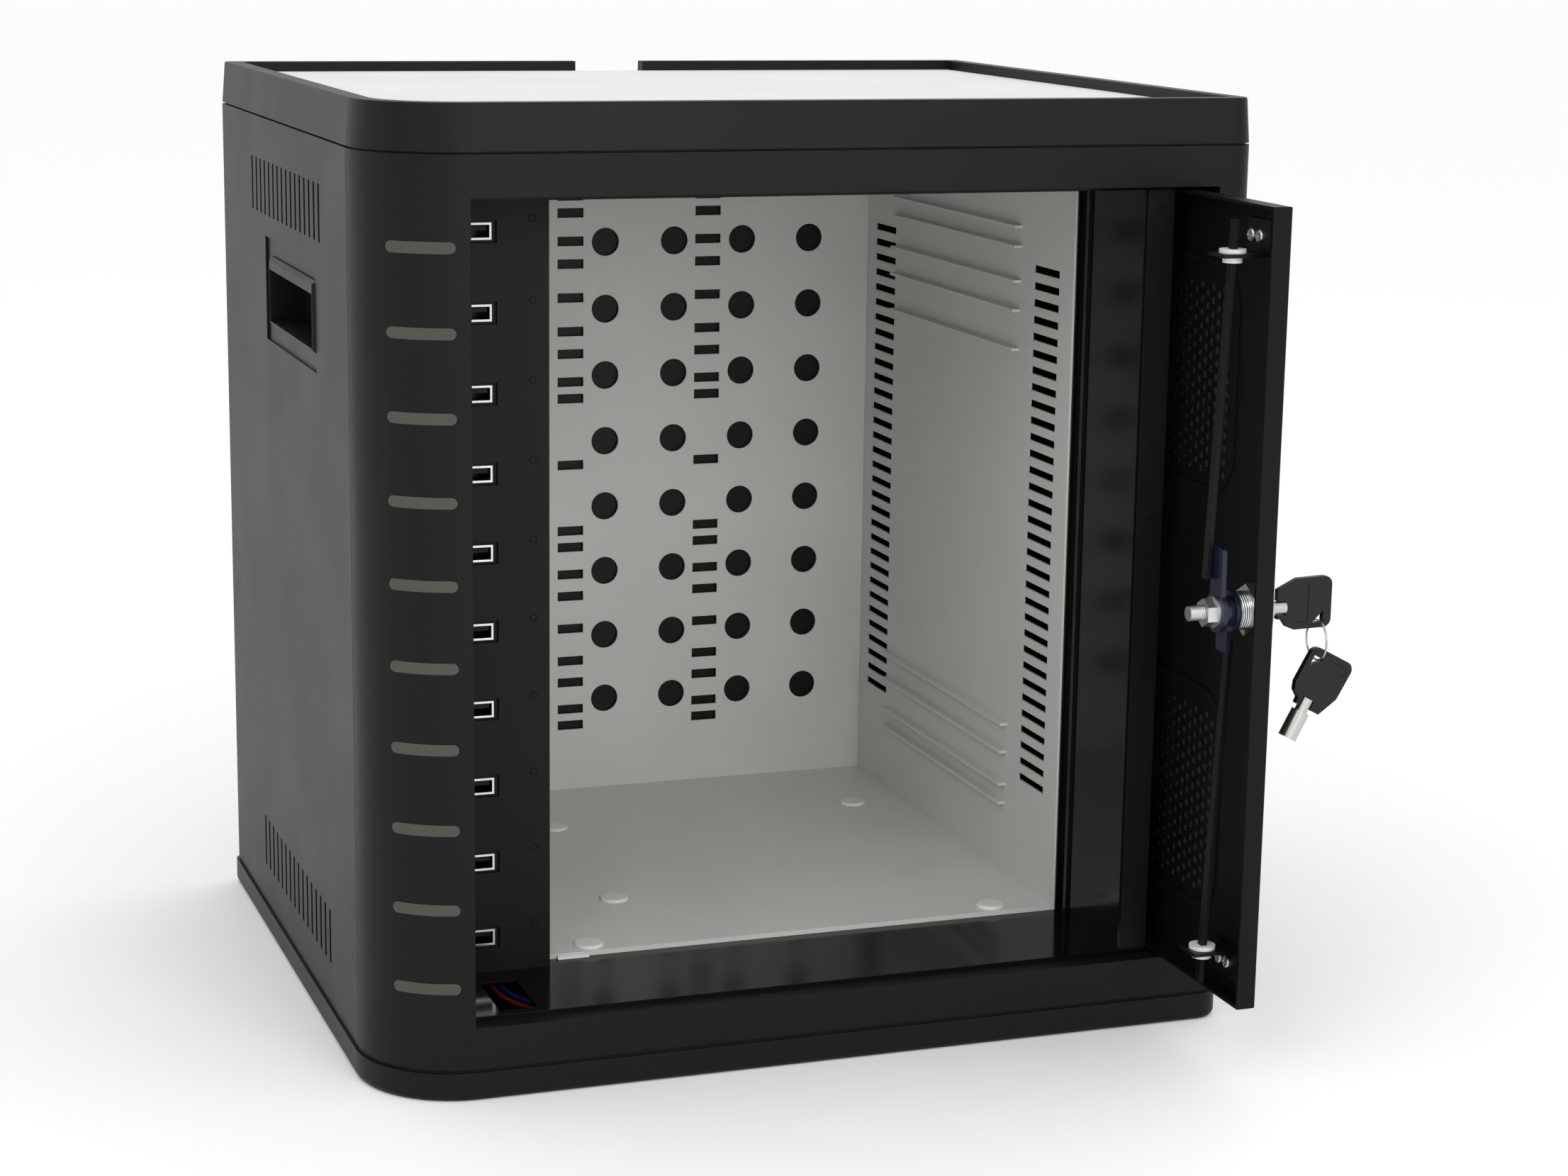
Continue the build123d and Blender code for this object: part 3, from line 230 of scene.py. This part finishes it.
# Lining: pale grey sheet steel round the tablet bay, punched with slots and holes and powder coated,
# with white nylon plugs pushed into the spare holes of its floor.
liner_grey = finish("liner_grey", (0.60, 0.592, 0.57), 0.36, grain=0.01, edge=0.2)
nylon = finish("white_nylon", (0.70, 0.70, 0.67), 0.42, edge=0.2)
dress(liner_grey, "liner_floor", "liner_roof", "liner_left_wall", "liner_right_wall", "liner_back_wall")
dress(nylon, "floor_plugs", "rod_bushings", "carriage_shoes")

# Floor tab: the tongue left at the front corner of the lining's floor. It is the floor's own sheet,
# bent down to the sill.
tab_t = 1.0 * mm
tab_w = 14.0 * mm
tab_r = 2.2 * mm        # outer radius of the bend
tab_from_left = 4.6 * mm
tab_lap = 0.1 * mm      # the tongue starts this far behind the floor's edge
tab_drop = 0.4 * mm     # its top is this far below the floor's
floor_low, floor_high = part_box("liner_floor")
sill_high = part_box("sill_plate")[1]


def floor_tab(x0, y, z_top, z_low):
    """Section of a sheet tab_t thick, carried along X: a quarter bend of radius tab_r that starts at y,
    then straight down to z_low. Points that fall on each other are dropped from the outline."""
    bend = np.linspace(0, pi / 2, 9)
    skin = [np.array([(y, z_top)])]
    skin.append(np.stack([y - tab_r * np.sin(bend), z_top - tab_r + tab_r * np.cos(bend)], -1))
    skin.append(np.array([(y - tab_r, z_low), (y - tab_r + tab_t, z_low)]))
    inner = tab_r - tab_t
    skin.append(np.stack([y - inner * np.sin(bend), z_top - tab_r + inner * np.cos(bend)], -1)[::-1])
    skin.append(np.array([(y, z_top - tab_t)]))
    outline = np.concatenate(skin)
    first = np.unique(outline.round(8), axis=0, return_index=True)[1]
    outline = outline[np.sort(first)]
    shares = np.array([0.0, 0.12, 0.5, 0.88, 1.0])
    xs = (x0 + tab_w * shares)[:, None]
    return loft(np.stack(np.broadcast_arrays(xs, outline[:, 0], outline[:, 1]), -1))


tab = floor_tab(floor_low.x + tab_from_left, floor_low.y + tab_lap, floor_high.z - tab_drop, sill_high.z)
piece("floor_tab", [tab], liner_grey, "cabinet", smooth=False)

# Sill, header and jamb: folded steel behind the front, painted gloss black, so that they mirror the
# bay and the door.
gloss = finish("gloss_black", (0.003, 0.003, 0.0035), 0.12, vary=0.03, shine=0.16)
dress(gloss, "sill_plate", "header_plate", "jamb_plate")

# Port numbers: the figures 1 to 10, raised by the mould on the port panel, one above each charging
# port.
port_low, port_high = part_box("port_panel")
shells_low, shells_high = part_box("port_shells")
port_x = (shells_low.x + shells_high.x) / 2
ports = 10
port_lip_h = 7.0 * mm
port_zs = np.linspace(shells_low.z + port_lip_h / 2, shells_high.z - port_lip_h / 2, ports)
figure_h = 2.9 * mm
em_per_height = 1.4     # Blender's text size for a figure one high
figure_t = 0.12 * mm
figure_left = 3.0 * mm  # centre of the figures from the ports' centre line
figure_up = 7.3 * mm


def figure(text, x, z):
    """Word set flat and turned up on the port panel: (a, b, c) goes to (x + a, panel - c, z + b)."""
    curve = bpy.data.curves.new(text, "FONT")
    curve.body = text
    curve.size = figure_h * em_per_height
    curve.extrude = figure_t / 2
    curve.align_x = "CENTER"
    holder = bpy.data.objects.new(text, curve)
    data = bpy.data.meshes.new_from_object(holder)
    flat = np.empty(len(data.vertices) * 3, np.float32)
    data.vertices.foreach_get("co", flat)
    a, b, c = flat.reshape(-1, 3).T.astype(float)
    faces = [list(face.vertices) for face in data.polygons]
    bpy.data.objects.remove(holder)
    return np.stack([x + a, port_low.y - c, z + b], -1), faces


figures = [figure(str(i + 1), port_x - figure_left, z + figure_up) for i, z in enumerate(port_zs)]
piece("port_numbers", figures, black_plastic, "cabinet", smooth=False)

# Ejector marks: the faint round rings that ejector pins leave in moulded plastic, down the port
# panel's edge and down the door post.
mark_r = 1.4 * mm
mark_half = 0.16 * mm   # half the width of the ring's section
mark_h = 0.04 * mm
mark_from_edge = 7.0 * mm
mark_up = 5.0 * mm
post_mark_up = 9.0 * mm


def ejector_mark(x, y, z):
    """Ring of radius mark_r round (x, z) on the face at y, with an elliptic section."""
    turn = np.linspace(0, 2 * pi, 28, endpoint=False)[:, None]
    side = np.linspace(0, 2 * pi, 8, endpoint=False)
    reach = mark_r + mark_half * np.cos(side)
    return loft(np.stack(np.broadcast_arrays(
        x + reach * np.cos(turn), y - mark_h * np.sin(side), z + reach * np.sin(turn)), -1), wrap=True)


post_low, post_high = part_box("door_post")
post_x = (post_low.x + post_high.x) / 2
marks = [ejector_mark(port_high.x - mark_from_edge, port_low.y, z + mark_up) for z in port_zs]
marks += [ejector_mark(post_x, post_low.y, z + post_mark_up) for z in port_zs]
piece("ejector_marks", marks, gloss, "cabinet")

# Charging ports: folded steel shells with a flared lip that catches the light. From 0.3 mm behind the lip
# the colour is painted darker, down to near black at 2 mm: painted shade inside the shell, where no light
# reaches the metal.
port_metal = finish("port_metal_painted_shade", (0.60, 0.60, 0.60), 0.22, metal=1.0, edge=0.15)
# Painted shade inside the shells: the colour darkens between these two depths behind the lip.
painted_shade_from = shells_low.y + 0.3 * mm
painted_shade_to = shells_low.y + 2.0 * mm
nodes, links = port_metal.node_tree.nodes, port_metal.node_tree.links
place = nodes.new("ShaderNodeTexCoord")
split = nodes.new("ShaderNodeSeparateXYZ")
depth = nodes.new("ShaderNodeMapRange")
depth.inputs["From Min"].default_value = painted_shade_from
depth.inputs["From Max"].default_value = painted_shade_to
shade = nodes.new("ShaderNodeMix")
shade.data_type = "RGBA"
# Painted shade: the near-black colour deep inside the port shells.
shade.inputs[7].default_value = (0.02, 0.02, 0.02, 1)
links.new(place.outputs["Object"], split.inputs["Vector"])
links.new(split.outputs["Y"], depth.inputs["Value"])
links.new(depth.outputs["Result"], shade.inputs[0])
links.new(nodes["tint"].outputs[2], shade.inputs[6])
links.new(shade.outputs[2], nodes["Principled BSDF"].inputs["Base Color"])
dress(port_metal, "port_shells")

# Power supply, boards and leads: an aluminium case, lacquered green boards, and two leads with red
# and blue insulation that show through the cut-out in the sill.
dress(finish("supply_case", (0.6, 0.61, 0.62), 0.35, metal=1.0, grain=0.01), "power_supply")
dress(finish("board_green", (0.02, 0.12, 0.06), 0.3, edge=0.1), "charging_board", "light_board")
dress(finish("red_wire", (0.5, 0.02, 0.015), 0.35, edge=0), "red_wire")
dress(finish("blue_wire", (0.02, 0.06, 0.42), 0.35, edge=0), "blue_wire")

# Light windows: smoked acrylic bars, one beside each port. They are pushed in from behind the front
# and end flush with its round.
smoked = finish("light_guide", (0.050, 0.050, 0.041), 0.18, grain=0.02, grain_scale=900.0, shine=0.35)
dress(smoked, "light_windows")

# Pocket rails, carriage and hinges: zinc-plated steel. The door's hinges are fixed to an upright bar
# that runs in the two rails inside the pocket.
dress(zinc, "pocket_rails", "carriage_bar", "hinge_leaves", "hinge_pins", "stud_nut")

# Door: a folded steel pan, perforated in two fields. It is powder coated with a fine charcoal
# texture.
dress(finish("door_charcoal", (0.004, 0.004, 0.0045), 0.42, grain=0.04, shine=0.12), "door_panel")

# Lock: nickel-plated barrel and plug through the door's skin, clamped by a bright nut. A blued cam
# and lever sit on the plug's threaded stud.
nickel = finish("nickel", (0.50, 0.49, 0.47), 0.3, metal=1.0, edge=0.15)
bright = finish("bright_metal", (0.66, 0.66, 0.66), 0.2, metal=1.0, edge=0.15)
dress(nickel, "lock_barrel", "lock_plug", "key_tube", "spare_key_tube")
dress(bright, "lock_nut")
dress(finish("blued_steel", (0.010, 0.013, 0.032), 0.25, metal=0.3, edge=0.2), "lock_cam", "lock_lever")

# Lock threads: rolled threads on the barrel behind its nut and on the stud past its nut. The barrel
# is nickel plated and bright there, and the stud is zinc plated.
barrel_low, barrel_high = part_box("lock_barrel")
lock_y = (barrel_low.y + barrel_high.y) / 2
lock_z = (barrel_low.z + barrel_high.z) / 2
end_inset = 0.05 * mm


def thread(x0, x1, r, pitch, depth):
    """Thread along X: radius = r + depth (1 - |2 frac(x / pitch - t) - 1|), t the share of a turn.
    Both ends go in to 0.9 r, inside the bar that carries the thread, so that no end face shows."""
    x = np.linspace(x0, x1, int((x1 - x0) / pitch * 10) + 2)[:, None]
    t = np.linspace(0, 1, 48, endpoint=False)
    reach = r + depth * (1 - np.abs(2 * ((x / pitch - t) % 1.0) - 1))
    reach[0] = reach[-1] = 0.9 * r
    x[0] += end_inset
    x[-1] -= end_inset
    return loft(np.stack(np.broadcast_arrays(
        x, lock_y + reach * np.cos(2 * pi * t), lock_z + reach * np.sin(2 * pi * t)), -1))


nut_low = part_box("lock_nut")[0]
stud_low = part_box("lock_plug")[0]
stud_nut_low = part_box("stud_nut")[0]
barrel_thread = thread(barrel_low.x, nut_low.x, 7.7 * mm, 1.0 * mm, 0.3 * mm)
stud_thread = thread(stud_low.x, stud_nut_low.x, 2.95 * mm, 0.8 * mm, 0.25 * mm)
piece("barrel_thread", [barrel_thread], bright, "door")
piece("stud_thread", [stud_thread], zinc, "lock_core")

# Bracket screws: zinc-plated pan heads, two for each rod bracket. They hold it to the inside of the
# door's skin.
low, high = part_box("bracket_screws")
bracket_heads = [screw_head((high.x, y, z), y_axis, z_axis, -x_axis)
                 for y in (low.y + head_r, high.y - head_r)
                 for z in (low.z + head_r, high.z - head_r)]
bracket_pan_heads = piece("bracket_pan_heads", bracket_heads, zinc, "door", smooth=False)
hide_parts("bracket_screws")

# Key bows: black plastic moulded over the nickel tube, with a shallow recess on each side that is
# left bare.
key_plastic = finish("key_plastic", (0.008, 0.008, 0.009), 0.33, grain=0.02, edge=0.6, shine=0.25)
dress(key_plastic, "key_bow", "spare_key_bow")

# Split ring: two turns of nickel-plated spring wire side by side, threaded through the corner holes
# of both bows. It takes the place of the plain ring that the joints carry.
ring_low, ring_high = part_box("key_ring")
ring_x = (ring_low.x + ring_high.x) / 2
ring_z = (ring_low.z + ring_high.z) / 2
plain_wire_r = 0.65 * mm
ring_r = (ring_high.z - ring_low.z) / 2 - plain_wire_r
wire_r = 0.32 * mm
coil_in = 0.3 * mm      # the coil is this much smaller than the plain ring
coil_turns = 1.97
coil_start = 0.4        # radians from the top
coil_step = 1.025       # the wire's ends are this many wire radii each side of the ring's middle


def split_wire(rows=180, cols=10):
    """Round wire of radius wire_r on a flat helix: angle = coil_start + 2 pi coil_turns u, while X goes
    from ring_x - coil_step wire_r to ring_x + coil_step wire_r."""
    u = np.linspace(0, 1, rows)[:, None]
    side = np.linspace(0, 2 * pi, cols, endpoint=False)
    turn = 2 * pi * coil_turns * u + coil_start
    reach = ring_r - coil_in + wire_r * np.cos(side)
    x = ring_x + (2 * u - 1) * coil_step * wire_r + wire_r * np.sin(side)
    y = lock_y + reach * np.sin(turn)
    z = ring_z + reach * np.cos(turn)
    return loft(np.stack(np.broadcast_arrays(x, y, z), -1))


split_ring = piece("split_ring", [split_wire()], nickel, "ring")
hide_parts("key_ring")

# Spare key's end: the rolled brass-coloured lip round the open end of its tube. The key hangs by the
# corner hole of its bow, with the tube down and to the left.
hang_turn = radians(28.0 - 90.0)
bow_stand = 6.8 * mm    # tube from the bow to the lock's face
key_in = 7.5 * mm       # tube inside the lock
hole_u = 19.7 * mm      # where the ring passes, along the key and across it
hole_v = -4.8 * mm
lip_r = 3.45 * mm
lip_t = 0.45 * mm


def hang(points):
    """Turns points of the key's own frame as it hangs: half a turn about X, then hang_turn about Y."""
    x, y, z = points[..., 0], -points[..., 1], -points[..., 2]
    c, s = np.cos(hang_turn), np.sin(hang_turn)
    return np.stack([x * c + z * s, y, -x * s + z * c], -1)


def tube_lip():
    """Ring of radius lip_r with a round section lip_t thick, at the open end of the tube."""
    turn = np.linspace(0, 2 * pi, 36, endpoint=False)[:, None]
    side = np.linspace(0, 2 * pi, 10, endpoint=False)
    reach = lip_r + lip_t * np.cos(side)
    x = lip_t - bow_stand - key_in + lip_t * np.sin(side)
    points = np.stack(np.broadcast_arrays(x, reach * np.cos(turn), reach * np.sin(turn)), -1)
    shift = np.array((ring_x, lock_y, ring_z - ring_r)) - hang(np.array((hole_u, 0.0, hole_v)))
    return loft(hang(points) + shift, wrap=True)


piece("spare_key_lip", [tube_lip()], brass, "spare_key")

# Floor and surround: a plain white floor and an even white surround, so that only the shadow shows.
floor_reach = 30.0
floor_mat = bpy.data.materials.new("floor")
floor_mat.use_nodes = True
floor_shader = floor_mat.node_tree.nodes["Principled BSDF"]
floor_shader.inputs["Base Color"].default_value = (0.97, 0.97, 0.97, 1)
floor_shader.inputs["Roughness"].default_value = 0.9
ground = bpy.data.meshes.new("floor")
corners = [(floor_reach * x, floor_reach * y, 0) for x, y in ((-1, -1), (1, -1), (1, 1), (-1, 1))]
ground.from_pydata(corners, [], [(0, 1, 2, 3)])
ground.materials.append(floor_mat)
floor = bpy.data.objects.new("floor", ground)
bpy.context.scene.collection.objects.link(floor)

world = bpy.data.worlds.new("surround")
world.use_nodes = True
world.node_tree.nodes["Background"].inputs["Color"].default_value = (1.0, 1.0, 1.0, 1)
world.node_tree.nodes["Background"].inputs["Strength"].default_value = 1.0
bpy.context.scene.world = world

# Lights: three large square lamps, one at the left front, one overhead and one that faces the bay.
body_mid = (0, 0, 0.2)
bay_aim = (0.02, 0, 0.2)


def lamp(name, place, aim, size, power):
    """Square soft light at place, size metres wide and power watts, turned towards aim."""
    data = bpy.data.lights.new(name, "AREA")
    data.size = size
    data.energy = power
    obj = bpy.data.objects.new(name, data)
    bpy.context.scene.collection.objects.link(obj)
    back = np.array(place) - np.array(aim)
    back /= np.linalg.norm(back)
    side = np.cross(z_axis, back)
    side /= np.linalg.norm(side)
    turned = np.array((side, np.cross(back, side), back)).T
    obj.matrix_world = Matrix([(*row, p) for row, p in zip(turned, place)] + [(0, 0, 0, 1)])


lamp("key_light", (-1.6, -1.6, 1.8), body_mid, 1.2, 9)
lamp("top_light", (0.2, 0.2, 2.2), body_mid, 1.6, 2)
lamp("bay_light", (0.25, -1.9, 0.9), bay_aim, 0.9, 10)

# Camera: at the photograph's place, with a 72.5 mm lens, looking down by 12 degrees.
camera = bpy.data.cameras.new("camera")
camera.lens = 72.47
camera.sensor_width = 36.0
camera.clip_end = 100.0
eye = bpy.data.objects.new("camera", camera)
right = (0.94243, -0.33408, 0.01455)
upward = (0.05683, 0.2029, 0.97755)
ahead = (0.32953, 0.92045, -0.2102)
place = (-0.44220, -1.34616, 0.47630)
back = tuple(-part for part in ahead)
eye.matrix_world = Matrix([*zip(right, upward, back, place), (0, 0, 0, 1)])
bpy.context.scene.collection.objects.link(eye)
bpy.context.scene.camera = eye
bpy.context.scene.view_settings.view_transform = "Standard"
